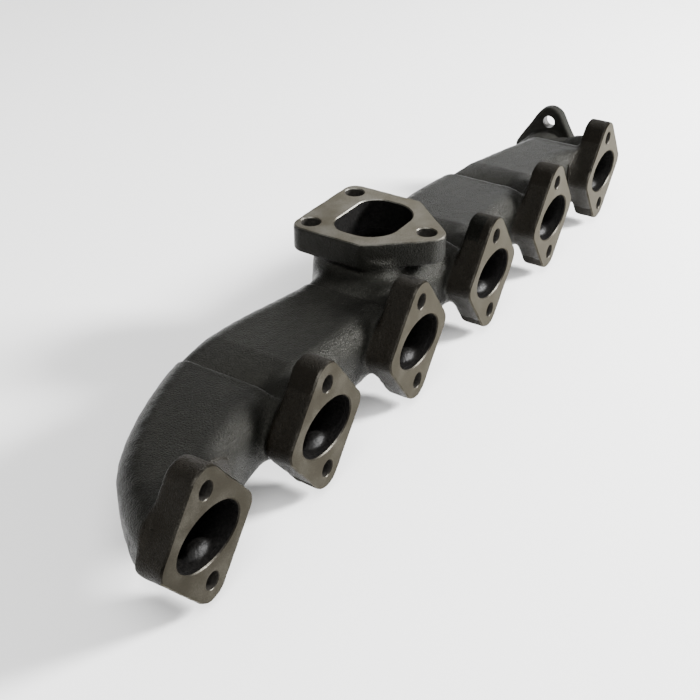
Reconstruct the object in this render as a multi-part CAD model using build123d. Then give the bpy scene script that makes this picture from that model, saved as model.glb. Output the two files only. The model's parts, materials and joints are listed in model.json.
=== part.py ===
"""Exhaust manifold of an in-line six-cylinder engine: a hollow cast log with six port flanges.

Origin: on the head face, midway between ports 3 and 4, at the height of the port centres.
+X runs along the engine towards the EGR outlet, +Y away from the head, +Z up to the turbo flange.
"""

import math
import os

from build123d import *

# Ports and their flanges -----------------------------------------------------------------
PORT_COUNT = 6
PORT_PITCH = 91.0
PORT_WIDTH = 41.8
PORT_HEIGHT = 27.8
PORT_FLANGE_THICKNESS = 15.0
HEAD_STUD_SPACING = 49.4
HEAD_STUD_HOLE_R = 4.5
HEAD_BOSS_R = 11.3
PORT_FLANGE_WIDTH = 62.0
PORT_CORNER_R = 8.0
PORT_FLANGE_BACK_ROUND = 2.0

# Throats between the flanges and the log ---------------------------------------------------
THROAT_WIDTH = 55.0
THROAT_HEIGHT = 39.0
THROAT_CORNER_R = 18.0
THROAT_END_Y = 22.0
THROAT_BLOCK_WIDTH = 59.0
END_THROAT_CORNER_R = 6.0

# Log ---------------------------------------------------------------------------------------
LOG_HEIGHT = 40.0
LOG_ROUND = 11.0
LOG_WALL = 5.5
CAVITY_HEIGHT = 27.8
CAVITY_ROUND = 6.0
# Front wall: how far it lies from the head between two ports and at each inner port.
FRONT_MID_Y = 16.0
FRONT_PORT_Y = (23.0, 19.5, 18.5, 18.0)
FRONT_BEND_R = 60.0
# Back wall, corner by corner before it is rounded: pitches from the centre, depth, radius.
BACK_CORNERS = (
    (-1.70, 81.0, 90.0),
    (-1.3, 84.5, 90.0),
    (-0.53, 71.5, 60.0),
    (0.22, 82.5, 80.0),
    (1.15, 80.5, 150.0),
    (2.25, 59.5, 60.0),
)
# Elbow round port 1: offset in X from the port centre, depth, radius.
ELBOW_HALF_WIDTH = 29.0
ELBOW_CORNERS = ((-29.0, 22.0, 16.0), (0.5, 50.0, 45.0))
# The underside rises towards the outer wall of the elbow, from this point in plan.
ELBOW_RISE_FROM = (-4.0, 25.0)
ELBOW_RISE_HEADING = 45.0
ELBOW_RISE_ANGLE = 27.0
# Behind flange 1 the underside widens from the flange outline at this angle.
ELBOW_TUCK_ANGLE = 27.0
# Closed end round port 6.
END_HALF_WIDTH = 27.5
END_CORNERS = ((14.0, 46.5, 22.0), (24.5, 30.0, 12.0))

# Saddles: shallow bands across the log in line with ports 2 to 6 ----------------------------
SADDLE_HALF_WIDTH = 12.0
SADDLE_DEPTH = 2.5
SADDLE_TILT = 1.5
END_SADDLE_DEPTH = 4.0

# Turbo flange and its neck ------------------------------------------------------------------
TURBO_FACE_Z = 40.0
TURBO_FLANGE_THICKNESS = 15.5
TURBO_PAD_HALF_LENGTH = 40.0
TURBO_REAR_Y = 92.0
TURBO_REAR_CORNER_R = 8.5
TURBO_HALF_WIDTH = 34.0
TURBO_SIDE_CORNER_R = 6.0
TURBO_SIDE_CORNER_Y = 47.0
TURBO_FRONT_BOSS_R = 11.0
TURBO_REAR_HOLE_SPACING = 47.4
TURBO_REAR_HOLE_Y = 83.5
TURBO_FRONT_HOLE_Y = 22.4
TURBO_HOLE_R = 5.6
TURBO_BORE_WIDTH = 48.5
TURBO_BORE_FRONT_Y = 37.3
TURBO_BORE_REAR_Y = 73.3
TURBO_BORE_FRONT_R = 17.5
TURBO_BORE_REAR_R = 13.0
TURBO_NECK_WALL = 6.0
TURBO_NECK_REAR_WALL = 8.5
TURBO_NECK_R = 11.0

# EGR outlet ---------------------------------------------------------------------------------
EGR_Y = 56.0
EGR_Z = -7.5
EGR_FACE_BEYOND_PORT = 37.5
EGR_FLANGE_THICKNESS = 8.0
EGR_BOLT_SPACING = 46.0
EGR_HOLE_R = 4.5
EGR_BOSS_R = 10.5
EGR_FLANGE_WIDTH = 50.0
EGR_CORNER_R = 9.0
EGR_BORE_R = 12.0
EGR_NECK_WALL = 5.0
EGR_NECK_LENGTH = 18.0
EGR_ROOT_LENGTH = 34.0

# Room beyond a solid for a cutting tool, and a length past every end of the part.
CUT = 30.0
REACH = 600.0
# Closeness that counts as lying on the straight edge along the head face.
ON_EDGE = 0.1

# Where things are ---------------------------------------------------------------------------
port_x = [(k - (PORT_COUNT - 1) / 2) * PORT_PITCH for k in range(PORT_COUNT)]
turbo_under_z = TURBO_FACE_Z - TURBO_FLANGE_THICKNESS
egr_face_x = port_x[-1] + EGR_FACE_BEYOND_PORT
egr_back_x = egr_face_x - EGR_FLANGE_THICKNESS
egr_neck_x = egr_back_x - EGR_NECK_LENGTH
log_half = LOG_HEIGHT / 2


def save(solid, name):
    """Write one node to its own file."""
    solid.label = name
    export_step(solid, f"parts/{name}.step")


def box(x0, x1, y0, y1, z0, z1):
    """A block between two corners."""
    size = Box(x1 - x0, y1 - y0, z1 - z0, align=(Align.MIN, Align.MIN, Align.MIN))
    return Pos(x0, y0, z0) * size


def along_y(sketch, x, y0, y1):
    """A sketch drawn in X and Z at one port, extruded from y0 to y1."""
    plane = Plane((x, y0, 0), x_dir=(1, 0, 0), z_dir=(0, -1, 0))
    return extrude(plane * sketch, -(y1 - y0))


def along_x(sketch, x0, x1):
    """A sketch drawn in Y and Z about the EGR centre line, extruded from x0 to x1."""
    plane = Plane((x0, EGR_Y, EGR_Z), x_dir=(0, 1, 0), z_dir=(1, 0, 0))
    return extrude(plane * sketch, x1 - x0)


def rhombus(width, corner_r, spacing, boss_r):
    """Two-bolt flange outline: a boss round each bolt hole and a rounded corner on each side."""
    side = width / 2 - corner_r
    rounds = Sketch() + [Pos(0, s * spacing / 2) * Circle(boss_r) for s in (-1, 1)]
    rounds += [Pos(s * side, 0) * Circle(corner_r) for s in (-1, 1)]
    return make_hull(rounds.edges())


# The log and everything cast round it -------------------------------------------------------
def log_outline():
    """Plan of the log. Both ends reach the head face, where the log turns into a port."""
    x0 = port_x[0] - ELBOW_HALF_WIDTH
    x1 = port_x[-1] + END_HALF_WIDTH
    left_x = port_x[0] + THROAT_WIDTH / 2
    right_x = port_x[-1] - THROAT_WIDTH / 2
    back = [(port_x[0] + dx, y, r) for dx, y, r in ELBOW_CORNERS]
    back += [(n * PORT_PITCH, y, r) for n, y, r in BACK_CORNERS]
    back += [(port_x[-1] + dx, y, r) for dx, y, r in END_CORNERS]
    front = [(left_x, FRONT_MID_Y, END_THROAT_CORNER_R)]
    for k in range(1, PORT_COUNT):
        front.append((port_x[k] - PORT_PITCH / 2, FRONT_MID_Y, FRONT_BEND_R))
        if k < PORT_COUNT - 1:
            front.append((port_x[k], FRONT_PORT_Y[k - 1], FRONT_BEND_R))
    front.append((right_x, FRONT_MID_Y, END_THROAT_CORNER_R))
    back_path = [(x0, 0)] + [(x, y) for x, y, _ in back] + [(x1, 0)]
    front_path = [(left_x, 0)] + [(x, y) for x, y, _ in front] + [(right_x, 0)]
    edges = [
        FilletPolyline(*back_path, radius=[r for _, _, r in back]),
        Line(back_path[-1], front_path[-1]),
        FilletPolyline(*front_path, radius=[r for _, _, r in front]),
        Line(front_path[0], back_path[0]),
    ]
    return make_face(edges)


def rounded_slab(plan, height, radius):
    """A plan made into a flat tube shape: rounded rims, but square where it meets the head face."""
    slab = extrude(Pos(0, 0, -height / 2) * plan, height)
    rims = slab.edges().group_by(Axis.Z)
    square_y = plan.bounding_box().min.Y + ON_EDGE
    return fillet([e for e in rims[0] + rims[-1] if e.center().Y > square_y], radius)


def saddle_cut(x0, x1, depth, side):
    """The block that lowers the log between x0 and x1, less and less towards the back."""
    block = box(x0, x1, -REACH, REACH, 0, CUT)
    block = Pos(0, 0, log_half - depth) * Rot(SADDLE_TILT, 0, 0) * block
    return block if side > 0 else mirror(block, Plane.XY)


def saddle_span(k):
    """The two ends of the saddle at port k, clear of the pad under the turbo flange."""
    x0 = port_x[k] - SADDLE_HALF_WIDTH
    x1 = port_x[k] + SADDLE_HALF_WIDTH
    if port_x[k] < 0 < x1 + TURBO_PAD_HALF_LENGTH:
        x1 = min(x1, -TURBO_PAD_HALF_LENGTH)
    if port_x[k] > 0 and x0 < TURBO_PAD_HALF_LENGTH:
        x0 = TURBO_PAD_HALF_LENGTH
    if k == PORT_COUNT - 1:
        x1 = egr_face_x + CUT
    return x0, x1


def turbo_bore():
    """Turbo passage in plan: square corners rounded, more at the front."""
    half = TURBO_BORE_WIDTH / 2
    corners = [
        (-half, TURBO_BORE_FRONT_Y),
        (half, TURBO_BORE_FRONT_Y),
        (half, TURBO_BORE_REAR_Y),
        (-half, TURBO_BORE_REAR_Y),
    ]
    hole = make_face(Polyline(*corners, close=True))
    front = hole.vertices().group_by(Axis.Y)[0]
    hole = fillet(front, TURBO_BORE_FRONT_R)
    rear = hole.vertices().group_by(Axis.Y)[-1]
    return fillet(rear, TURBO_BORE_REAR_R)


def neck_outline():
    """Outer plan of the turbo neck, thicker at the back where the rear bolts pull."""
    half = TURBO_BORE_WIDTH / 2 + TURBO_NECK_WALL
    y0 = TURBO_BORE_FRONT_Y - TURBO_NECK_WALL
    y1 = TURBO_BORE_REAR_Y + TURBO_NECK_REAR_WALL
    plan = make_face(Polyline((-half, y0), (half, y0), (half, y1), (-half, y1), close=True))
    return fillet(plan.vertices(), TURBO_NECK_R)


outline = log_outline()
body = rounded_slab(outline, LOG_HEIGHT, LOG_ROUND)
for k in range(1, PORT_COUNT):
    depth = END_SADDLE_DEPTH if k == PORT_COUNT - 1 else SADDLE_DEPTH
    for side in (1, -1):
        body -= saddle_cut(*saddle_span(k), depth, side)
body += extrude(neck_outline(), turbo_under_z)
egr_tube = Circle(EGR_BORE_R + EGR_NECK_WALL)
body += along_x(egr_tube, egr_neck_x - EGR_ROOT_LENGTH, egr_neck_x)
throat = RectangleRounded(THROAT_WIDTH, THROAT_HEIGHT, THROAT_CORNER_R)
for x in port_x[1:-1]:
    body += along_y(throat, x, 0, THROAT_END_Y + LOG_WALL)
body -= box(-REACH, REACH, -REACH, PORT_FLANGE_THICKNESS, -REACH, REACH)
body -= along_x(egr_tube, egr_neck_x, egr_face_x + CUT)

# The underside of the elbow rises towards its outer wall.
rise = Pos(port_x[0] + ELBOW_RISE_FROM[0], ELBOW_RISE_FROM[1], -log_half)
rise *= Rot(0, 0, ELBOW_RISE_HEADING)
rise *= Rot(ELBOW_RISE_ANGLE, 0, 0)
under = box(-REACH, REACH, 0, REACH, -CUT, 0)
body -= rise * under

# Behind flange 1 it is tucked in to the slanting lower edge of the flange.
corner_x = PORT_FLANGE_WIDTH / 2 - PORT_CORNER_R
boss_z = HEAD_STUD_SPACING / 2
edge_slope = math.atan2(boss_z, corner_x)
edge_slope += math.asin((HEAD_BOSS_R - PORT_CORNER_R) / math.hypot(corner_x, boss_z))
edge_x = port_x[0] - corner_x - PORT_CORNER_R * math.sin(edge_slope)
edge_z = -PORT_CORNER_R * math.cos(edge_slope)
tuck = Pos(edge_x, PORT_FLANGE_THICKNESS, edge_z)
tuck *= Rot(0, math.degrees(edge_slope), 0)
tuck *= Rot(-ELBOW_TUCK_ANGLE, 0, 0)
body -= tuck * under

# The passages: the hollow of the log, the ports, the turbo opening and the EGR bore ----------
port = Ellipse(PORT_WIDTH / 2, PORT_HEIGHT / 2)
hollow = rounded_slab(offset(outline, -LOG_WALL), CAVITY_HEIGHT, CAVITY_ROUND)
hollow -= box(-REACH, REACH, -REACH, THROAT_END_Y, -REACH, REACH)
for x in port_x:
    hollow += along_y(port, x, -CUT, THROAT_END_Y + LOG_WALL + CAVITY_ROUND)
hollow += extrude(turbo_bore(), TURBO_FACE_Z)
hollow += along_x(Circle(EGR_BORE_R), egr_neck_x - EGR_ROOT_LENGTH, egr_face_x)
body -= hollow

# Throats: what lies just behind each port flange --------------------------------------------
os.makedirs("parts", exist_ok=True)
half = THROAT_BLOCK_WIDTH / 2
for k, x in enumerate(port_x, start=1):
    block = box(x - half, x + half, PORT_FLANGE_THICKNESS, THROAT_END_Y, -REACH, REACH)
    save(body & block, f"port_throat_{k}")
    body -= block

# Log sections, cut square across the log ----------------------------------------------------
between = [x + PORT_PITCH / 2 for x in port_x[:-1]]
sections = [
    ("log_elbow", -REACH, between[0]),
    ("log_section_port_2", between[0], between[1]),
    ("log_section_port_3", between[1], -TURBO_PAD_HALF_LENGTH),
    ("turbo_collector", -TURBO_PAD_HALF_LENGTH, TURBO_PAD_HALF_LENGTH),
    ("log_section_port_4", TURBO_PAD_HALF_LENGTH, between[3]),
    ("log_section_port_5", between[3], between[4]),
    ("log_end", between[4], REACH),
]
for name, x0, x1 in sections:
    save(body & box(x0, x1, -REACH, REACH, -REACH, REACH), name)

# Port flanges -------------------------------------------------------------------------------
flange_plan = rhombus(PORT_FLANGE_WIDTH, PORT_CORNER_R, HEAD_STUD_SPACING, HEAD_BOSS_R)
stud_hole = Circle(HEAD_STUD_HOLE_R)
for k, x in enumerate(port_x, start=1):
    flange = along_y(flange_plan, x, 0, PORT_FLANGE_THICKNESS)
    flange = fillet(flange.faces().sort_by(Axis.Y)[-1].edges(), PORT_FLANGE_BACK_ROUND)
    flange -= along_y(port, x, 0, PORT_FLANGE_THICKNESS)
    for side in (-1, 1):
        drill = Pos(0, side * HEAD_STUD_SPACING / 2) * stud_hole
        flange -= along_y(drill, x, 0, PORT_FLANGE_THICKNESS)
    save(flange, f"port_flange_{k}")

# Turbo flange -------------------------------------------------------------------------------
rear_x = TURBO_HALF_WIDTH - TURBO_REAR_CORNER_R
rear_y = TURBO_REAR_Y - TURBO_REAR_CORNER_R
side_x = TURBO_HALF_WIDTH - TURBO_SIDE_CORNER_R
rounds = Sketch() + [Pos(s * rear_x, rear_y) * Circle(TURBO_REAR_CORNER_R) for s in (-1, 1)]
rounds += [Pos(s * side_x, TURBO_SIDE_CORNER_Y) * Circle(TURBO_SIDE_CORNER_R) for s in (-1, 1)]
rounds += Pos(0, TURBO_FRONT_HOLE_Y) * Circle(TURBO_FRONT_BOSS_R)
turbo_plan = make_hull(rounds.edges()) - turbo_bore()
for s in (-1, 1):
    turbo_plan -= Pos(s * TURBO_REAR_HOLE_SPACING / 2, TURBO_REAR_HOLE_Y) * Circle(TURBO_HOLE_R)
turbo_plan -= Pos(0, TURBO_FRONT_HOLE_Y) * Circle(TURBO_HOLE_R)
save(extrude(Pos(0, 0, turbo_under_z) * turbo_plan, TURBO_FLANGE_THICKNESS), "turbo_flange")

# EGR flange and neck ------------------------------------------------------------------------
egr_plan = rhombus(EGR_FLANGE_WIDTH, EGR_CORNER_R, EGR_BOLT_SPACING, EGR_BOSS_R)
egr_plan -= Circle(EGR_BORE_R)
egr_plan -= [Pos(0, s * EGR_BOLT_SPACING / 2) * Circle(EGR_HOLE_R) for s in (-1, 1)]
save(along_x(egr_plan, egr_back_x, egr_face_x), "egr_flange")
save(along_x(egr_tube - Circle(EGR_BORE_R), egr_neck_x, egr_back_x), "egr_neck")
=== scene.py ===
import json
import math

import bpy
import numpy as np
import openvdb
from mathutils import Matrix, Vector


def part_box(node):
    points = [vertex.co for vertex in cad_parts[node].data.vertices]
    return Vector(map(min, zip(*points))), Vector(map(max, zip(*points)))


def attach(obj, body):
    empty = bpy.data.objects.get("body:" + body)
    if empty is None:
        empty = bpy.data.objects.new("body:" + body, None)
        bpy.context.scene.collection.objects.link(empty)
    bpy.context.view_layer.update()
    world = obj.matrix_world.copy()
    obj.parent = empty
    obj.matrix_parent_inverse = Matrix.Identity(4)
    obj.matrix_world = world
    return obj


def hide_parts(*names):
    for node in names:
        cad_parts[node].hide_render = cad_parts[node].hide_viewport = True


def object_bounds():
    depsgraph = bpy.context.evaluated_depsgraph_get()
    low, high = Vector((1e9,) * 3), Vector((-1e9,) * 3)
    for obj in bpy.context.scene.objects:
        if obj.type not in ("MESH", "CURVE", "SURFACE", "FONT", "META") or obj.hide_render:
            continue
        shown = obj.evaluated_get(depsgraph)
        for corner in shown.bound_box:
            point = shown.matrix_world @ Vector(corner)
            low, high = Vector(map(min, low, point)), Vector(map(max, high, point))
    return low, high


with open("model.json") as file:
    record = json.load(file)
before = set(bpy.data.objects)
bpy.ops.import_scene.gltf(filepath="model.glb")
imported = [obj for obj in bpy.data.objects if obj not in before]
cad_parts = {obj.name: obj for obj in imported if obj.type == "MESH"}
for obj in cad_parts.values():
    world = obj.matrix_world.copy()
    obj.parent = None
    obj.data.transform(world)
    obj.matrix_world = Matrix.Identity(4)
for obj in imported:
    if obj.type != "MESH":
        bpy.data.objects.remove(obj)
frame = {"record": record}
cad_box = [list(corner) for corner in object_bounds()]

# The log: a flattened grey-iron tube that gathers the gas of six cylinders. It is poured in
# one piece with everything else, so it starts one field of distances in millimetres, negative
# inside the metal, and the next sections melt their own shapes into it as the mould does.
MM = 0.001
STEP = 1.1
ROOM = 6.0
low = np.array(cad_box[0]) / MM - ROOM
high = np.array(cad_box[1]) / MM + ROOM
xs, ys, zs = [np.arange(a, b, STEP) for a, b in zip(low, high)]
X = xs[:, None, None]
Y = ys[None, :, None]
Z = zs[None, None, :]

record = {mount["name"]: mount for mount in frame["record"]["mounts"]}
flanges = [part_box(f"port_flange_{k}") for k in range(1, 7)]
port_x = [(a[0] + b[0]) / 2 / MM for a, b in flanges]
flange_y = flanges[0][1][1] / MM
LOG_HALF = 20.0
LOG_ROUND = 12.0
LOG_OVERLAP = 1.5
OUTLINE_STEP = 1.5
OUTLINE_SOFT = 13
# Plan of the log, corner by corner, from the elbow round the back to the far end.
BACK = [
    (-255.8, 0.0), (-255.8, 15.0), (-245.5, 31.0), (-228.0, 50.5), (-208.0, 62.0),
    (-186.0, 71.5), (-160.0, 80.0), (-140.0, 83.2), (-120.0, 83.6), (-95.0, 80.3),
    (-65.0, 74.2), (-50.0, 71.6), (-34.0, 74.0), (-18.0, 79.0), (0.0, 82.4),
    (30.0, 83.0), (60.0, 82.0), (95.0, 81.2), (120.0, 78.2), (160.0, 70.0),
    (200.0, 60.5), (226.0, 53.5), (243.0, 45.0), (251.5, 30.0), (253.0, 0.0),
]
# Front wall: it bows towards the head between two ports and draws back at each one.
FRONT = [
    (200.0, 0.0), (200.0, 14.0), (182.0, 16.0), (160.0, 16.0), (136.5, 17.0),
    (112.0, 15.5), (70.0, 15.5), (45.5, 17.0), (22.0, 16.5), (0.0, 16.0),
    (-22.0, 16.5), (-45.5, 17.5), (-70.0, 16.0), (-91.0, 15.5), (-112.0, 16.5),
    (-136.5, 20.0), (-160.0, 20.0), (-180.0, 16.5), (-200.0, 13.0), (-200.0, 0.0),
]


def softened(corners, reach):
    """A closed outline through the corners, stepped evenly and rounded by averaging."""
    ends = np.array(corners + corners[:1])
    gone = np.concatenate([[0], np.cumsum(np.hypot(*np.diff(ends, axis=0).T))])
    at = np.arange(0, gone[-1], OUTLINE_STEP)
    path = np.stack([np.interp(at, gone, ends[:, k]) for k in (0, 1)], axis=1)
    weights = np.hanning(2 * reach + 1)[1:-1]
    weights /= weights.sum()
    padded = np.concatenate([path[-reach:], path, path[:reach]])
    smooth = [np.convolve(padded[:, k], weights, "same")[reach:-reach] for k in (0, 1)]
    return np.stack(smooth, axis=1)


def distance(outline, u, v):
    """Signed distance from a closed outline in its own plane, negative inside."""
    near = np.full(np.broadcast(u, v).shape, np.inf)
    inside = np.zeros(near.shape, bool)
    for (ax, ay), (bx, by) in zip(outline, np.roll(outline, -1, axis=0)):
        ex, ey = bx - ax, by - ay
        share = ((u - ax) * ex + (v - ay) * ey) / (ex * ex + ey * ey)
        share = np.clip(share, 0, 1)
        near = np.minimum(near, (u - ax - share * ex) ** 2 + (v - ay - share * ey) ** 2)
        if ay != by:
            between = (ay > v) != (by > v)
            inside ^= between & (u < ax + (v - ay) / ey * ex)
    return np.where(inside, -1, 1) * np.sqrt(near)


def rounded(flat, across, radius):
    """A slab from its outline's distance and its thickness, with its rim rounded."""
    a, b = flat + radius, across + radius
    inner = np.minimum(np.maximum(a, b), 0)
    return inner + np.hypot(np.maximum(a, 0), np.maximum(b, 0)) - radius


def melt(a, b, reach):
    """Two shapes poured together, with a fillet of about this reach between them."""
    overlap = np.maximum(reach - np.abs(a - b), 0)
    return np.minimum(a, b) - overlap**2 / (4 * reach)


def carve(a, b, reach):
    """What both shapes share, with the edge between them eased."""
    return -melt(-a, -b, reach)


def rise(u, start, end):
    """A smooth step from 0 at start to 1 at end."""
    t = np.clip((u - start) / (end - start), 0, 1)
    return t * t * (3 - 2 * t)


# Bands beside ports 2 to 6, where the tube is drawn in: each drops at a crisp lip and climbs
# back evenly, and fades towards the back wall. Start, end and share of the full depth.
BANDS = [
    (-149.5, -125.0, 1.0),
    (-52.5, -38.0, 0.6),
    (33.0, 58.0, 1.1),
    (123.5, 149.0, 1.2),
    (213.5, 600.0, 1.0),
]
BAND_DEPTH = 7.5
BAND_FADE = 74.0
DROP_FROM, DROP_TO = -0.3, 1.1
LIP_BEFORE = 2.0
LIP_HEIGHT = 0.5
LIP_WIDTH = 1.4
log_plan = distance(softened(BACK + FRONT, OUTLINE_SOFT), X[:, :, 0], Y[:, :, 0])[:, :, None]
fade = np.clip(1 - (Y - flange_y) / BAND_FADE, 0, 1)
drawn_in = 0 * X * Y
for start, end, share in BANDS:
    band = rise(X, start + DROP_FROM, start + DROP_TO)
    band = band * (1 - np.clip((X - start) / (end - start), 0, 1))
    lip = np.exp(-(((X - start + LIP_BEFORE) / LIP_WIDTH) ** 2))
    drawn_in = drawn_in + (BAND_DEPTH * share * band - LIP_HEIGHT * lip) * fade
log = rounded(log_plan, np.abs(Z) - LOG_HALF, LOG_ROUND) + drawn_in
log = np.maximum(log, flange_y - LOG_OVERLAP - Y)

# The underside of the elbow rises outwards, and is tucked in behind the first flange.
UNDER_ANGLE = math.radians(27)
UNDER_X, UNDER_Y = 4.0, 25.0
UNDER_EASE = 9.0
TUCK_ACROSS, TUCK_DOWN = 0.795, 0.607
TUCK_X, TUCK_Z = 29.4, 4.9
TUCK_DEPTH = 1.8
TUCK_LEAN = 0.2
TUCK_EASE = 4.0
outwards = (-(X - port_x[0] + UNDER_X) + (Y - UNDER_Y)) * math.sqrt(0.5)
under = -LOG_HALF + math.tan(UNDER_ANGLE) * outwards - Z
log = carve(log, under * math.cos(UNDER_ANGLE), UNDER_EASE)
beyond = -TUCK_ACROSS * (X - port_x[0] + TUCK_X) - TUCK_DOWN * (Z + TUCK_Z)
log = carve(log, beyond + TUCK_DEPTH - TUCK_LEAN * (Y - flange_y), TUCK_EASE)
metal = log

# Port flanges and throats: two-bolt iron plates that seal on the cylinder head, each with a
# boss round both stud holes and a short neck behind it. They are cast with the log, and their
# fronts are left proud for the milling cut that later takes them down to the head face.
studs = record["head_studs_outer"]["dims"]
stud_z = studs["spacing_y_mm"] / 2
STUD_R = studs["hole_r_mm"]
PROUD = 8.0
STUD_BOSS_R = 11.1
FLANGE_CORNER_R = 8.0
FLANGE_HALF_WIDTH = 30.8
FLANGE_BACK_ROUND = 2.2
FLANGE_MELT = 2.6
FLANGE_CLEAR = 5
RIM_BREAK = 0.6
RIM_DEPTH = 0.9
RIM_LIMIT = 4
THROAT_RX = 27.4
THROAT_RZ = 19.4
THROAT_REACH = 14
THROAT_OVERLAP = 3
THROAT_EASE = 6.0
THROAT_MELT = 5.0
PORT_RX = 20.9
PORT_RZ = 13.9
MOUTH_DEPTH = 3.0
CHAMFER = 0.6
OUTSIDE = 3.0
STUD_BEYOND = 2.5
ROUND_TURNS = 96
HOLE_TURNS = 48


def hull(circles, turns=144):
    """The outline of a band pulled round circles given as centre and radius."""
    points = []
    for k in range(turns):
        c, s = math.cos(2 * math.pi * k / turns), math.sin(2 * math.pi * k / turns)
        u, v, r = max(circles, key=lambda ring: ring[0] * c + ring[1] * s + ring[2])
        points.append((u + r * c, v + r * s))
    return np.array(points)


def ring(u, v, rx, rz, turns=ROUND_TURNS):
    """An oval outline about a point."""
    a = np.linspace(0, 2 * math.pi, turns, endpoint=False)
    return np.stack([u + rx * np.cos(a), v + rz * np.sin(a)], axis=1)


side_u = FLANGE_HALF_WIDTH - FLANGE_CORNER_R
flange_rings = [(0, stud_z, STUD_BOSS_R), (0, -stud_z, STUD_BOSS_R)]
flange_rings += [(side_u, 0, FLANGE_CORNER_R), (-side_u, 0, FLANGE_CORNER_R)]
flange_outline = hull(flange_rings)
for x in port_x:
    flat = distance(flange_outline, (X - x)[:, 0, :], Z[:, 0, :])[:, None, :]
    rim = RIM_BREAK * np.clip(1 - Y / RIM_DEPTH, 0, RIM_LIMIT)
    plate = rounded(flat + rim, Y - flange_y, FLANGE_BACK_ROUND)
    oval = np.hypot((X - x) / THROAT_RX, Z / THROAT_RZ) - 1
    throat = carve(oval * THROAT_RZ, Y - flange_y - THROAT_REACH, THROAT_EASE)
    # The elbow runs straight into the first flange, without a throat of its own.
    if x > port_x[0]:
        metal = melt(metal, np.maximum(throat, flange_y - THROAT_OVERLAP - Y), THROAT_MELT)
    joined = melt(metal, plate, FLANGE_MELT)
    metal = np.where(Y < flange_y - FLANGE_CLEAR, np.minimum(metal, plate), joined)

# Cutters as outline, axis, start, end and flare; drilled walls as axis, centre, radius, span.
cuts = []
bores = []
for x in port_x:
    mouth = ring(x, 0, PORT_RX, PORT_RZ)
    cuts.append((mouth, 1, -PROUD, MOUTH_DEPTH, 0))
    cuts.append((mouth, 1, -OUTSIDE, CHAMFER, OUTSIDE + CHAMFER))
    for s in (-1, 1):
        hole = ring(x, s * stud_z, STUD_R, STUD_R, HOLE_TURNS)
        cuts.append((hole, 1, -PROUD, flange_y + STUD_BEYOND, 0))
        cuts.append((hole, 1, -OUTSIDE, CHAMFER / 2, OUTSIDE + CHAMFER / 2))
        bores.append((1, x, s * stud_z, STUD_R, -1, flange_y + 3))

# Turbo neck and flange: a neck flares out of the top of the log and carries the thick iron
# plate that the turbocharger is bolted to. The plate has two rear corners and one pointed
# front boss; it is cast with the log, milled on top and drilled for three bolts.
turbo_low, turbo_high = [np.array(c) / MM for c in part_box("turbo_flange")]
turbo_rear = record["turbo_bolts_rear"]
turbo_front = record["turbo_bolt_front"]
TURBO_R = turbo_rear["dims"]["hole_r_mm"]
TURBO_BORE_FRONT = 37.3
TURBO_BORE_REAR = 73.3
TURBO_BORE_HALF = 24.25
TURBO_BORE_DEPTH = 18
TURBO_BORE_ROUNDS = [(54.8, 17.5), (60.3, 13.0)]
NECK_WALL = 6.0
NECK_REAR_WALL = 8.5
NECK_R = 10.0
NECK_FROM = 5
NECK_INTO = 4
NECK_MELT = 9.0
TURBO_CORNER_R = 8.5
TURBO_SIDE_Y = 47.0
TURBO_SIDE_R = 6.0
TURBO_BOSS_R = 11.0
TURBO_EDGE_R = 1.6
TURBO_MELT = 3.6
half = turbo_high[0]
front_y = turbo_front["pos_m"][1] / MM
rear_y = turbo_rear["pos_m"][1] / MM
rear_x = turbo_rear["dims"]["spacing_x_mm"] / 2
face_z = turbo_high[2]
corner_y = turbo_high[1] - TURBO_CORNER_R
turbo_rings = [(s * (half - TURBO_CORNER_R), corner_y, TURBO_CORNER_R) for s in (-1, 1)]
turbo_rings += [(s * (half - TURBO_SIDE_R), TURBO_SIDE_Y, TURBO_SIDE_R) for s in (-1, 1)]
turbo_rings += [(0, front_y, TURBO_BOSS_R)]
turbo_flat = distance(hull(turbo_rings), X[:, :, 0], Y[:, :, 0])[:, :, None]
rim = RIM_BREAK * np.clip(1 - (face_z - Z) / RIM_DEPTH, 0, RIM_LIMIT)
plate = rounded(turbo_flat + rim, turbo_low[2] - Z, TURBO_EDGE_R)
neck_half = TURBO_BORE_HALF + NECK_WALL - NECK_R
neck_y = (TURBO_BORE_FRONT - NECK_WALL + NECK_R, TURBO_BORE_REAR + NECK_REAR_WALL - NECK_R)
neck_rings = [(s * neck_half, y, NECK_R) for s in (-1, 1) for y in neck_y]
neck = distance(hull(neck_rings), X[:, :, 0], Y[:, :, 0])[:, :, None]
neck = np.maximum(neck + 0 * Z, np.maximum(NECK_FROM - Z, Z - turbo_low[2] - NECK_INTO))
metal = np.where(Z > 0, melt(metal, neck, NECK_MELT), metal)
metal = melt(metal, plate, TURBO_MELT)

turbo_mouth = hull([
    (s * (TURBO_BORE_HALF - r), y, r) for s in (-1, 1) for y, r in TURBO_BORE_ROUNDS
])
cuts.append((turbo_mouth, 2, face_z - TURBO_BORE_DEPTH, face_z + PROUD, 0))
cuts.append((turbo_mouth, 2, face_z + OUTSIDE, face_z - CHAMFER, OUTSIDE + CHAMFER))
for x, y in [(-rear_x, rear_y), (rear_x, rear_y), (0, front_y)]:
    hole = ring(x, y, TURBO_R, TURBO_R, HOLE_TURNS)
    cuts.append((hole, 2, turbo_low[2] - 2, face_z + PROUD, 0))
    cuts.append((hole, 2, face_z + OUTSIDE, face_z - CHAMFER, OUTSIDE + CHAMFER))
    bores.append((2, x, y, TURBO_R, turbo_low[2] - 2, face_z + 1))

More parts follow.
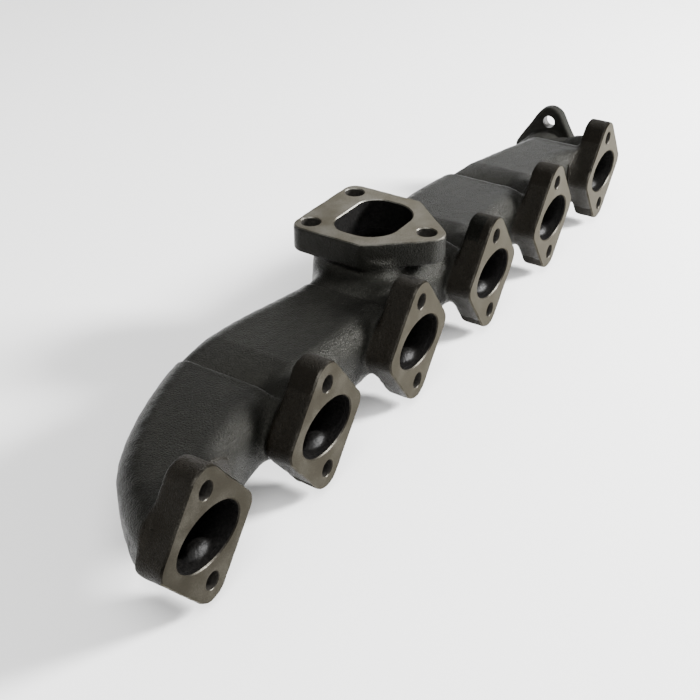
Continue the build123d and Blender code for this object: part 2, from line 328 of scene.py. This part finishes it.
# The EGR outlet: a short round iron neck that leans out of the log's far end, with a thin
# two-bolt plate across it for the exhaust gas recirculation pipe. It is cast with the log,
# and the plate is milled on its far side.
egr_low, egr_high = [np.array(c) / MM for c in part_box("egr_flange")]
egr = record["egr_bolts"]
egr_y, egr_z = egr["pos_m"][1] / MM, egr["pos_m"][2] / MM
egr_half = egr["dims"]["spacing_y_mm"] / 2
EGR_HOLE_R = egr["dims"]["hole_r_mm"]
EGR_BORE_R = 12.0
EGR_BORE_DEPTH = 15
EGR_TUBE_R = 17.0
EGR_TUBE_FROM = 205
EGR_TUBE_MELT = 8.0
EGR_BOSS_R = egr_high[2] - egr_z - egr_half
EGR_CORNER_R = 9.0
EGR_EDGE_R = 1.8
EGR_MELT = 3.0
face_x = egr_high[0]
egr_side = (egr_high[1] - egr_low[1]) / 2 - EGR_CORNER_R
around = np.hypot(Y - egr_y, Z - egr_z)
tube = np.maximum(around - EGR_TUBE_R, np.maximum(EGR_TUBE_FROM - X, X - face_x))
metal = melt(metal, tube, EGR_TUBE_MELT)
egr_rings = [(0, egr_half, EGR_BOSS_R), (0, -egr_half, EGR_BOSS_R)]
egr_rings += [(egr_side, 0, EGR_CORNER_R), (-egr_side, 0, EGR_CORNER_R)]
egr_flat = distance(hull(egr_rings), (Y - egr_y)[0], (Z - egr_z)[0])[None]
plate = rounded(egr_flat, egr_low[0] - X, EGR_EDGE_R)
metal = melt(metal, plate, EGR_MELT)

bore = ring(egr_y, egr_z, EGR_BORE_R, EGR_BORE_R)
cuts.append((bore, 0, face_x - EGR_BORE_DEPTH, face_x + PROUD, 0))
for z in (egr_z - egr_half, egr_z + egr_half):
    hole = ring(egr_y, z, EGR_HOLE_R, EGR_HOLE_R, HOLE_TURNS)
    cuts.append((hole, 0, egr_low[0] - 3, face_x + PROUD, 0))
    bores.append((0, egr_y, z, EGR_HOLE_R, egr_low[0] - 3, face_x + 1))

# The passage: the hollow left by one sand core, open at the ports, the turbo and the EGR.
# Its iron wall is as rough as the sand, with a low hump on the floor of each port, and only
# the mouths are cleaned up by a cutter.
LOG_WALL = 6.0
CORE_ROUND = 8.0
CORE_FRONT = 7
CORE_MELT = 8.0
PORT_SET_IN = 0.15
BORE_SET_IN = 0.3
PORT_CORE_REACH = 10
TURBO_CORE_FROM = 4
EGR_CORE_FROM = 215
HUMP = (2.0, 10.5, -15.5)
HUMP_R = (9.0, 5.5, 5.5)
HUMP_EASE = 1.0
core = rounded(log_plan + LOG_WALL, np.abs(Z) - LOG_HALF + LOG_WALL, CORE_ROUND) + drawn_in
core = np.maximum(core, flange_y + CORE_FRONT - Y)
for x in port_x:
    mouth = (np.hypot((X - x) / PORT_RX, Z / PORT_RZ) - 1) * PORT_RZ + PORT_SET_IN
    core = melt(core, np.maximum(mouth, Y - flange_y - PORT_CORE_REACH), CORE_MELT)
mouth = distance(turbo_mouth, X[:, :, 0], Y[:, :, 0])[:, :, None] + BORE_SET_IN
core = melt(core, np.maximum(mouth + 0 * Z, TURBO_CORE_FROM - Z), CORE_MELT)
core = melt(core, np.maximum(around - EGR_BORE_R + BORE_SET_IN, EGR_CORE_FROM - X), CORE_MELT)
for x in port_x:
    away = [(axis - mid) / r for axis, mid, r in zip((X - x, Y, Z), HUMP, HUMP_R)]
    hump = np.sqrt(away[0] ** 2 + away[1] ** 2 + away[2] ** 2) - 1
    core = carve(core, -HUMP_R[2] * hump, HUMP_EASE)
metal = np.maximum(metal, -core)

# The raw casting, knocked out of the mould: the field becomes one mesh of iron with the
# slight unevenness of a sand mould, and the mouths, chamfers and bolt holes are cut in it.
EDGE = 3 * STEP
WAVES = 26
WAVE_LENGTHS = (5, 16)
WAVE_HEIGHT = 0.02
near_skin = np.clip(metal, -EDGE, EDGE).astype(np.float32)
grid = openvdb.FloatGrid(background=EDGE)
grid.copyFromArray(near_skin)
points, quads = grid.convertToQuads()
slopes = np.gradient(near_skin)


def normals_at(where):
    """Unit normals of the field at points given in grid steps."""
    base = np.floor(where).astype(int)
    base = np.clip(base, 0, np.array(metal.shape) - 2)
    part = where - base
    total = np.zeros_like(where)
    for corner in np.ndindex(2, 2, 2):
        weight = np.prod(np.where(corner, part, 1 - part), axis=1)
        at = tuple((base + corner).T)
        total += weight[:, None] * np.stack([s[at] for s in slopes], axis=1)
    return total / np.maximum(np.linalg.norm(total, axis=1, keepdims=True), 1e-9)


normals = normals_at(points)
points = low + points * STEP
rng = np.random.default_rng(11)
relief = np.zeros(len(points))
for _ in range(WAVES):
    way = rng.normal(size=3)
    way *= 2 * math.pi / rng.uniform(*WAVE_LENGTHS) / np.linalg.norm(way)
    relief += np.sin(points @ way + rng.uniform(0, 2 * math.pi))
points += normals * (WAVE_HEIGHT * relief)[:, None]


def mesh_object(name, verts, faces):
    """A new mesh object from points in metres, linked into the scene."""
    mesh = bpy.data.meshes.new(name)
    mesh.from_pydata(verts, [], faces)
    mesh.validate()
    mesh.update()
    item = bpy.data.objects.new(name, mesh)
    bpy.context.scene.collection.objects.link(item)
    return item


def prism(outline, axis, start, end, flare=0.0):
    """A closed tool: an outline in the other two axes, run along one axis in millimetres."""
    count = len(outline)
    middle = outline.mean(axis=0)
    rings = []
    for at, grow in ((start, flare), (end, 0.0)):
        arms = outline - middle
        arms = arms * (1 + grow / np.linalg.norm(arms, axis=1, keepdims=True))
        rings.append(np.insert(arms + middle, axis, at, axis=1))
    verts = np.concatenate(rings) * MM
    faces = [[k, (k + 1) % count, count + (k + 1) % count, count + k] for k in range(count)]
    faces += [list(range(count))[::-1], list(range(count, 2 * count))]
    tool = mesh_object("tool", verts.tolist(), faces)
    side = tool.data.polygons[0]
    if (np.array(side.center) - verts.mean(axis=0)) @ np.array(side.normal) < 0:
        tool.data.flip_normals()
    return tool


def machine(item, tool, operation):
    """Cuts away or keeps what the tool covers, then throws the tool away."""
    cut = item.modifiers.new("cut", "BOOLEAN")
    cut.solver = "MANIFOLD"
    cut.operation = operation
    cut.object = tool
    graph = bpy.context.evaluated_depsgraph_get()
    result = bpy.data.meshes.new_from_object(item.evaluated_get(graph))
    item.modifiers.clear()
    item.data = result
    bpy.data.objects.remove(tool)


casting = mesh_object("casting", (points * MM).tolist(), quads.tolist())
if sum(p.center.dot(p.normal) * p.area for p in casting.data.polygons) < 0:
    casting.data.flip_normals()
for cutter in cuts:
    machine(casting, prism(*cutter), "DIFFERENCE")

# The log's sections and the throats: lengths of the same poured iron, so they show no joint.
# Outside they keep the dark skin of the sand mould, duller in the drawn-in bands; inside the
# wall is sooty, and the stud drills have left a bare mark behind some flanges.
CAST, SOOTY, DRILLED, MILLED = range(4)
SKIN_DARK = (0.0024, 0.0024, 0.0020)
SKIN_MID = (0.0055, 0.0056, 0.0046)
SKIN_PALE = (0.015, 0.015, 0.0125)
SKIN_TINT = (1.0, 0.98, 0.86, 1.0)
SOOT_DARK = (0.0012, 0.0011, 0.0010)
SOOT_PALE = (0.0040, 0.0036, 0.0032)
BARE_DARK = (0.010, 0.009, 0.008)
BARE_PALE = (0.026, 0.024, 0.020)
SOOTY_WITHIN = 1.5
MOUTH_REACH = -0.5
ON_PLANE = 0.02
ON_WALL = 0.25
FACES_OUT = 0.25
SQUARE_ON = 0.99
ALONG_WALL = 0.3
SHARP_ANGLE = math.radians(38)
SAME_WAY = 0.9
DULL_DEPTH = 4.0
BIG = 400.0
LOG_TOP = 60
THROAT_HALF = 29.5
THROAT_LENGTH = 7
THROAT_TOP = 24.4


class Wire:
    """A socket of a material: arithmetic on it adds Math nodes, add() makes any other node."""

    def __init__(self, tree, socket=None):
        self.tree = tree
        self.socket = socket

    def add(self, kind, settings, inputs, out=0):
        """A node of this kind, its settings first and then its sockets."""
        node = self.tree.nodes.new(kind)
        for name, value in settings.items():
            if name == "stops":
                stops = node.color_ramp.elements
                while len(stops) < len(value):
                    stops.new(1.0)
                for stop, (place, colour) in zip(stops, value):
                    stop.position = place
                    stop.color = (*colour, 1.0)
            else:
                setattr(node, name, value)
        for name, value in inputs.items():
            if isinstance(value, Wire):
                self.tree.links.new(value.socket, node.inputs[name])
            else:
                node.inputs[name].default_value = value
        return Wire(self.tree, node.outputs[out])

    def maths(self, operation, a, b):
        return self.add("ShaderNodeMath", {"operation": operation}, {0: a, 1: b})

    def __add__(self, other):
        return self.maths("ADD", self, other)

    def __radd__(self, other):
        return self.maths("ADD", other, self)

    def __sub__(self, other):
        return self.maths("SUBTRACT", self, other)

    def __rsub__(self, other):
        return self.maths("SUBTRACT", other, self)

    def __mul__(self, other):
        return self.maths("MULTIPLY", self, other)

    def __rmul__(self, other):
        return self.maths("MULTIPLY", other, self)

    def noise(self, place, scale, detail=3.0, rough=0.55):
        """Smooth noise about 0.5, this many times a metre."""
        inputs = {"Vector": place, "Scale": scale, "Detail": detail, "Roughness": rough}
        return self.add("ShaderNodeTexNoise", {}, inputs)

    def ramp(self, stops):
        """A colour ramp read at this value."""
        return self.add("ShaderNodeValToRGB", {"stops": stops}, {0: self})

    def bump(self, strength, metres):
        """A surface raised by this value."""
        inputs = {"Strength": strength, "Distance": metres, "Height": self}
        return self.add("ShaderNodeBump", {}, inputs)


def material(name, paint):
    """A new material whose shader is filled in by paint."""
    made = bpy.data.materials.new(name)
    made.use_nodes = True
    tree = made.node_tree
    tree.nodes.clear()
    pen = Wire(tree)
    place = pen.add("ShaderNodeTexCoord", {}, {}, "Object")
    shader = pen.add("ShaderNodeBsdfPrincipled", {}, paint(pen, place))
    output = tree.nodes.new("ShaderNodeOutputMaterial")
    tree.links.new(shader.socket, output.inputs["Surface"])
    return made


def cast_skin(pen, place, dark=SKIN_DARK, mid=SKIN_MID, pale=SKIN_PALE):
    """Dark iron with the print of sand grains, duller in the drawn-in bands."""
    blotch = pen.noise(place, 34, 4.0)
    lumps = pen.noise(place, 260, 3.0, 0.6)
    grains = pen.noise(place, 1050, 2.0, 0.8)
    tone = blotch * 0.35 + lumps * 0.3 + grains * 0.35
    hollow = pen.add("ShaderNodeAttribute", {"attribute_name": "hollow"}, {}, "Fac")
    height = lumps * 0.15 + grains * 0.85
    return {
        "Base Color": tone.ramp([(0.42, dark), (0.60, mid), (0.76, pale)]),
        "Roughness": 0.17 + grains * 0.36 + hollow * 0.45,
        "Metallic": 0.0,
        "Specular IOR Level": 0.12,
        "Specular Tint": SKIN_TINT,
        "Normal": height.bump(1.0, 0.0009),
    }


def passage_skin(pen, place):
    """Inside the passage: soot on rough iron."""
    grains = pen.noise(place, 700, 3.0, 0.6)
    return {
        "Base Color": grains.ramp([(0.35, SOOT_DARK), (0.7, SOOT_PALE)]),
        "Roughness": 0.36 + grains * 0.3,
        "Specular IOR Level": 0.12,
        "Normal": grains.bump(0.6, 0.0005),
    }


def drilled_wall(pen, place):
    """The wall of a drilled hole: bare iron, dull and dark."""
    fine = pen.noise(place, 900, 2.0)
    return {
        "Base Color": fine.ramp([(0.3, BARE_DARK), (0.7, BARE_PALE)]),
        "Roughness": 0.45,
        "Metallic": 0.3,
        "Normal": fine.bump(0.3, 0.0002),
    }


def read(items, name, width, kind=float):
    """One property of every element of a mesh, a row for each."""
    values = np.zeros(len(items) * width, kind)
    items.foreach_get(name, values)
    return values.reshape(-1, width)


def cells(spots):
    """The grid cells nearest to these points in millimetres, one array for each axis."""
    nearest = np.round((spots - low) / STEP).astype(int)
    return tuple(np.clip(nearest, 0, np.array(metal.shape) - 1).T)


def finishes(mesh):
    """How each face of a piece was made, and whether it is shaded as a curved one."""
    centre = read(mesh.polygons, "center", 3) / MM
    normal = read(mesh.polygons, "normal", 3)
    from_core = core[cells(centre)]
    finish = np.where(from_core < SOOTY_WITHIN, SOOTY, CAST)
    curved = np.ones(len(finish), bool)
    for depth, facing in (
        (centre[:, 1], -normal[:, 1]),
        (face_z - centre[:, 2], normal[:, 2]),
        (face_x - centre[:, 0], normal[:, 0]),
    ):
        finish[(depth < RIM_DEPTH) & (facing > FACES_OUT) & (from_core > MOUTH_REACH)] = MILLED
        flat = (np.abs(depth) < ON_PLANE) & (facing > SQUARE_ON)
        finish[flat] = MILLED
        curved[flat] = False
    for axis, u, v, r, start, end in bores:
        across = np.delete(centre, axis, axis=1)
        on_wall = np.abs(np.hypot(across[:, 0] - u, across[:, 1] - v) - r) < ON_WALL
        along = (centre[:, axis] > start) & (centre[:, axis] < end)
        finish[on_wall & (np.abs(normal[:, axis]) < ALONG_WALL) & along] = DRILLED
    return finish, curved


def even_seams(mesh, as_cast):
    """Gives the skin the whole casting's normals where it was divided, so no seam shows."""
    corner = read(mesh.corner_normals, "vector", 3, np.float32)
    vert = read(mesh.loops, "vertex_index", 1, np.int32)[:, 0]
    place = read(mesh.vertices, "co", 3) / MM
    field = normals_at((place - low) / STEP)[vert]
    sides = read(mesh.polygons, "loop_total", 1, np.int32)[:, 0]
    agree = ((field * corner).sum(axis=1) > SAME_WAY) & np.repeat(as_cast, sides)
    corner[agree] = field[agree]
    mesh.normals_split_custom_set(corner.tolist())


def block(x0, x1, y0, y1, z0, z1):
    """A box-shaped tool between two corners, in millimetres."""
    return prism(np.array([(y0, z0), (y1, z0), (y1, z1), (y0, z1)], float), 0, x0, x1)


def piece(node, region, skins, spare=()):
    """The part of the casting inside one region, less the spare regions, as its own solid."""
    item = bpy.data.objects.new(node + "_cast", casting.data.copy())
    bpy.context.scene.collection.objects.link(item)
    machine(item, block(*region), "INTERSECT")
    for other in spare:
        machine(item, block(*other), "DIFFERENCE")
    mesh = item.data
    mesh.name = item.name
    mesh.materials.clear()
    for skin in skins:
        mesh.materials.append(skin)
    finish, curved = finishes(mesh)
    mesh.polygons.foreach_set("material_index", finish.astype(np.int32))
    mesh.polygons.foreach_set("use_smooth", curved)
    mesh.set_sharp_from_angle(angle=SHARP_ANGLE)
    even_seams(mesh, finish == CAST)
    column = cells(read(mesh.vertices, "co", 3) / MM)
    hollow = np.clip(drawn_in[column[0], column[1], 0] / DULL_DEPTH, 0, 1)
    dull = mesh.attributes.new("hollow", "FLOAT", "POINT")
    dull.data.foreach_set("value", hollow.astype(np.float32))
    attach(item, "root")
    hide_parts(node)


cast_iron = material("cast_iron_skin", cast_skin)
soot = material("sooty_passage", passage_skin)
bare = material("drilled_iron", drilled_wall)
log_skins = [cast_iron, soot, bare]
throat_regions = []
for k, x in enumerate(port_x, start=1):
    across = (x - THROAT_HALF, x + THROAT_HALF)
    region = (*across, flange_y, flange_y + THROAT_LENGTH, -BIG, THROAT_TOP)
    piece(f"port_throat_{k}", region, log_skins)
    throat_regions.append(region)

NECK_X, NECK_Y = 246, 37
egr_neck_region = (NECK_X, egr_low[0], NECK_Y, BIG, -BIG, BIG)
log_cuts = [-BIG, -182, -91, -40, 40, 91, 182, egr_low[0]]
log_nodes = ["log_elbow", "log_section_port_2", "log_section_port_3", "turbo_collector"]
log_nodes += ["log_section_port_4", "log_section_port_5", "log_end"]
for node, x0, x1 in zip(log_nodes, log_cuts, log_cuts[1:]):
    spare = [b for b in throat_regions if b[0] < x1 and b[1] > x0]
    spare += [egr_neck_region] if node == "log_end" else []
    top = turbo_low[2] if node == "turbo_collector" else LOG_TOP
    piece(node, (x0, x1, flange_y, BIG, -BIG, top), log_skins, spare)

# The turbo flange: the top plate, as cast round its edge and milled flat and pale on top to
# seal against the turbocharger's gasket.
TOP_DARK = (0.028, 0.025, 0.019)
TOP_MID = (0.058, 0.055, 0.047)
TOP_PALE = (0.100, 0.097, 0.086)
MILLED_TINT = (0.66, 0.63, 0.56, 1.0)
TURBO_HALF = 45
TURBO_FRONT = 5


def milled_face(pen, place, dark=TOP_DARK, mid=TOP_MID, pale=TOP_PALE):
    """Milled grey iron: fine cutter lines, faint blotches and open pores."""
    along = pen.add("ShaderNodeMapping", {}, {"Vector": place, "Scale": (1.0, 6.0, 6.0)})
    lines = pen.noise(along, 420, 2.0, 0.6)
    blotch = pen.noise(place, 60, 4.0)
    pores = pen.noise(place, 1400, 2.0, 0.7)
    tone = blotch * 0.55 + pores * 0.35 + lines * 0.15
    height = lines * 0.4 + pores * 0.6
    return {
        "Base Color": tone.ramp([(0.40, dark), (0.52, mid), (0.64, pale)]),
        "Roughness": 0.30 + blotch * 0.2,
        "Metallic": 0.85,
        "Specular Tint": MILLED_TINT,
        "Normal": height.bump(0.2, 0.00012),
    }


plate_skins = [*log_skins, material("milled_iron_face", milled_face)]
turbo_region = (-TURBO_HALF, TURBO_HALF, TURBO_FRONT, BIG, turbo_low[2], face_z)
piece("turbo_flange", turbo_region, plate_skins)

# The EGR neck and flange: the round outlet at the far end and its two-bolt plate, of the same
# iron and skin as the log, the plate milled on its outer side.
EGR_PLATE_Y = 15.5
piece("egr_neck", egr_neck_region, plate_skins)
egr_region = (egr_low[0], face_x, EGR_PLATE_Y, BIG, -BIG, BIG)
piece("egr_flange", egr_region, plate_skins)

# The port flanges: six iron plates, as cast round the edge, milled on the head side and
# drilled for two studs each. Both skins are browner here, from handling and light rust, and
# the milled face is also painted far darker than the turbo face, as painted shade.
EDGE_DARK = (0.0022, 0.0016, 0.0010)
EDGE_MID = (0.0045, 0.0034, 0.0022)
EDGE_PALE = (0.011, 0.0086, 0.0060)
# Colours of the milled head-side faces: browner than the turbo face's, and far darker as
# painted shade.
SEAL_SHADED_DARK = (0.003, 0.0025, 0.0018)
SEAL_SHADED_MID = (0.011, 0.010, 0.0080)
SEAL_SHADED_PALE = (0.034, 0.032, 0.027)
FLANGE_REACH = 33


def flange_skin(pen, place):
    """The edges of the port flanges: the same skin, but browner."""
    return cast_skin(pen, place, EDGE_DARK, EDGE_MID, EDGE_PALE)


def shaded_milled_flange(pen, place):
    """The head-side faces of the port flanges: browner, and painted far darker than the turbo
    face as painted shade.
    """
    return milled_face(pen, place, SEAL_SHADED_DARK, SEAL_SHADED_MID, SEAL_SHADED_PALE)


flange_edge = material("cast_flange_edge", flange_skin)
# The milled head-side faces get the darker copy of the milled face, with painted shade in its
# colour.
flange_skins = [flange_edge, soot, bare, material("milled_flange_face", shaded_milled_flange)]
for k, x in enumerate(port_x, start=1):
    region = (x - FLANGE_REACH, x + FLANGE_REACH, 0, flange_y, -BIG, BIG)
    piece(f"port_flange_{k}", region, flange_skins)
bpy.data.objects.remove(casting)

# The stage: a pale floor under the lowest flange tips, lit by a soft key light, a large soft
# light above and a weak one at the far end, in an even white room, seen from the elbow side.
FLOOR_HALF = 4
FLOOR_COLOUR = (0.97, 0.97, 0.965, 1.0)
ROOM_LIGHT = 0.47
LENS, SENSOR = 57.05, 36.0
CAMERA_AT = (-0.4946, -0.2282, 0.3124)
AZIMUTH, DIP, ROLL = [math.radians(a) for a in (31.15, 32.35, 0.84)]
floor_z = cad_box[0][2]
corners = [(-1, -1), (1, -1), (1, 1), (-1, 1)]
corners = [(FLOOR_HALF * x, FLOOR_HALF * y, floor_z) for x, y in corners]
floor = mesh_object("floor", corners, [(0, 1, 2, 3)])


def floor_paint(pen, place):
    """Matt off-white paint."""
    return {"Base Color": FLOOR_COLOUR, "Roughness": 0.8}


floor.data.materials.append(material("pale_floor", floor_paint))

world = bpy.data.worlds.new("studio")
world.use_nodes = True
room = world.node_tree.nodes["Background"].inputs
room["Color"].default_value = (1.0, 1.0, 1.0, 1.0)
room["Strength"].default_value = ROOM_LIGHT
bpy.context.scene.world = world


def softbox(name, way, far, size, power):
    """A square area light this far off in one direction, aimed at the part."""
    light = bpy.data.lights.new(name, "AREA")
    light.size = size
    light.energy = power
    lamp = bpy.data.objects.new(name, light)
    way = Vector(way).normalized()
    lamp.location = way * far
    lamp.rotation_euler = way.to_track_quat("Z", "Y").to_euler()
    bpy.context.scene.collection.objects.link(lamp)


softbox("key", (0.6, -0.63, 0.42), far=1.5, size=0.34, power=125)
softbox("top", (-0.55, -0.3, 1.0), far=2.0, size=1.4, power=58)
softbox("far", (0.85, 0.36, 0.36), far=1.7, size=0.8, power=8)

look = bpy.data.cameras.new("camera")
look.lens = LENS
look.sensor_width = SENSOR
camera = bpy.data.objects.new("camera", look)
level = math.cos(DIP)
ahead = Vector((level * math.cos(AZIMUTH), level * math.sin(AZIMUTH), -math.sin(DIP)))
flat_right = ahead.cross(Vector((0, 0, 1))).normalized()
flat_up = flat_right.cross(ahead)
right = flat_right * math.cos(ROLL) + flat_up * math.sin(ROLL)
up = flat_up * math.cos(ROLL) - flat_right * math.sin(ROLL)
turned = Matrix((right, up, -ahead)).transposed().to_4x4()
camera.matrix_world = Matrix.Translation(CAMERA_AT) @ turned
bpy.context.scene.collection.objects.link(camera)
bpy.context.scene.camera = camera
